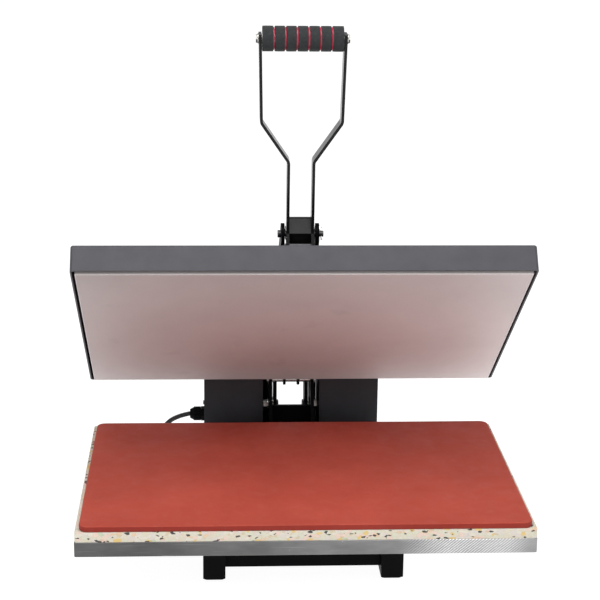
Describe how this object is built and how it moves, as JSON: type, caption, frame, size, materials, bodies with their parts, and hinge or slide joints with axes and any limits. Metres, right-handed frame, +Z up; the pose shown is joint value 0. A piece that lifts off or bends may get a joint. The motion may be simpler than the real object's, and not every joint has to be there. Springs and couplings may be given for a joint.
{
  "type": "heat press",
  "caption": "Flatbed clamshell heat press: hinged heating head with fork handle over a foam and silicone covered base plate, standing open.",
  "frame": {"origin": "under the middle of the footprint, at table height", "axes": "+X to the machine's right as the user sees it, +Y to the back, +Z up; the head is stored open"},
  "size_m": [0.612, 0.6, 0.7238],
  "materials": {
    "black_paint": "satin powder coat",
    "gloss_black": "glossy powder coat",
    "head_paint": "satin powder coat, dark grey",
    "box_paint": "satin powder coat",
    "milled_aluminium": "milled, fine lay marks",
    "heater_aluminium": "satin, ground flat",
    "red_silicone": "matt silicone sheet",
    "rebond_foam": "rebonded chips of foam",
    "insulation_wool": "felted",
    "zinc_steel": "bright zinc plate",
    "dark_steel": "blackened",
    "element_steel": "heat stained",
    "grip_foam": "matt closed-cell foam",
    "ring_red": "gloss",
    "black_plastic": "moulded, fine grain",
    "plug_black": "moulded, satin",
    "rocker_red": "gloss",
    "black_rubber": "matt",
    "cord_black": "satin sheath",
    "relay_grey": "moulded",
    "board_green": "solder mask",
    "panel_film": "printed film",
    "display_glass": "tinted",
    "button_grey": "moulded",
    "pin_chrome": "polished"
  },
  "bodies": {
    "base": {"rail_left": "black_paint", "rail_right": "black_paint", "cross_tube_front": "black_paint", "cross_tube_mid": "black_paint", "bridge_plate": "black_paint", "upright_left": "black_paint", "upright_right": "black_paint", "tie_plate": "black_paint", "rail_end_caps": "black_plastic", "rubber_feet": "black_rubber", "lower_platen": "milled_aluminium", "foam_pad": "rebond_foam", "silicone_mat": "red_silicone", "upright_bolts": "dark_steel", "pivot_bolts": "dark_steel", "pivot_nuts": "zinc_steel", "link_pin": "zinc_steel", "power_box": "box_paint", "control_box": "box_paint", "box_screws": "dark_steel", "rocker_frame": "black_plastic", "gland_body": "black_plastic", "gland_nut": "black_plastic", "power_relay": "relay_grey", "control_board": "board_green", "control_panel": "panel_film", "display_window": "display_glass", "mains_cord": "cord_black", "cord_coil": "cord_black", "cord_tail": "cord_black", "cord_tie": "black_plastic", "plug_body": "plug_black", "plug_pins": "pin_chrome"},
    "rocker": {"power_rocker": "rocker_red"},
    "key_down": {"button_down": "button_grey"},
    "key_set": {"button_set": "button_grey"},
    "key_up": {"button_up": "button_grey"},
    "arm": {"arm_plate_left": "black_paint", "arm_plate_right": "black_paint", "arm_spacers": "dark_steel", "spindle_block": "dark_steel", "clevis_pin": "dark_steel", "split_pin": "zinc_steel"},
    "head": {"head_cover": "head_paint", "heating_platen": "heater_aluminium", "insulation": "insulation_wool", "heater_element": "element_steel", "head_yoke": "black_paint", "head_screws": "zinc_steel", "head_gland": "black_plastic"},
    "screw": {"spindle": "zinc_steel", "pressure_knob": "black_plastic"},
    "handle": {"fork_bar_left": "gloss_black", "fork_bar_right": "gloss_black", "knuckle": "gloss_black", "crank_pin": "dark_steel", "grip_core": "zinc_steel", "foam_grip": "grip_foam", "grip_rings": "ring_red"},
    "link": {"link_plates": "black_paint"}
  },
  "joints": [
    {"name": "head_hinge", "type": "hinge", "parent": "base", "child": "arm", "pos_m": [0, 0.193, 0.106], "axis": [1, 0, 0], "range_deg": [0, 38.3]},
    {"name": "head_lift", "type": "slide", "parent": "arm", "child": "head", "axis": [0, 0.6198, 0.7848], "range_m": [0, 0.006]},
    {"name": "spindle_turn", "type": "hinge", "parent": "head", "child": "screw", "pos_m": [0, 0.00025, 0.33468], "axis": [0, 0.6198, 0.7848], "range_deg": [0, 720]},
    {"name": "handle_pivot", "type": "hinge", "parent": "arm", "child": "handle", "pos_m": [0, -0.02927, 0.43445], "axis": [1, 0, 0], "range_deg": [0, 44.1]},
    {"name": "link_pivot", "type": "hinge", "parent": "base", "child": "link", "pos_m": [0, 0.168, 0.156], "axis": [1, 0, 0], "range_deg": [0, 41.1]},
    {"name": "power_switch", "type": "hinge", "parent": "base", "child": "rocker", "pos_m": [-0.089, 0.287, 0.128], "axis": [1, 0, 0], "range_deg": [0, 16]},
    {"name": "key_down_press", "type": "slide", "parent": "base", "child": "key_down", "axis": [0, 0, -1], "range_m": [0, 0.001], "stiffness_N_per_m": 400},
    {"name": "key_set_press", "type": "slide", "parent": "base", "child": "key_set", "axis": [0, 0, -1], "range_m": [0, 0.001], "stiffness_N_per_m": 400},
    {"name": "key_up_press", "type": "slide", "parent": "base", "child": "key_up", "axis": [0, 0, -1], "range_m": [0, 0.001], "stiffness_N_per_m": 400}
  ],
  "couplings": [
    {"joint": "handle_pivot", "follows": "head_hinge", "ratio": 1.15},
    {"joint": "link_pivot", "follows": "head_hinge", "ratio": 1.0723},
    {"joint": "spindle_turn", "follows": "head_lift", "rad_per_m": 2094.4}
  ]
}
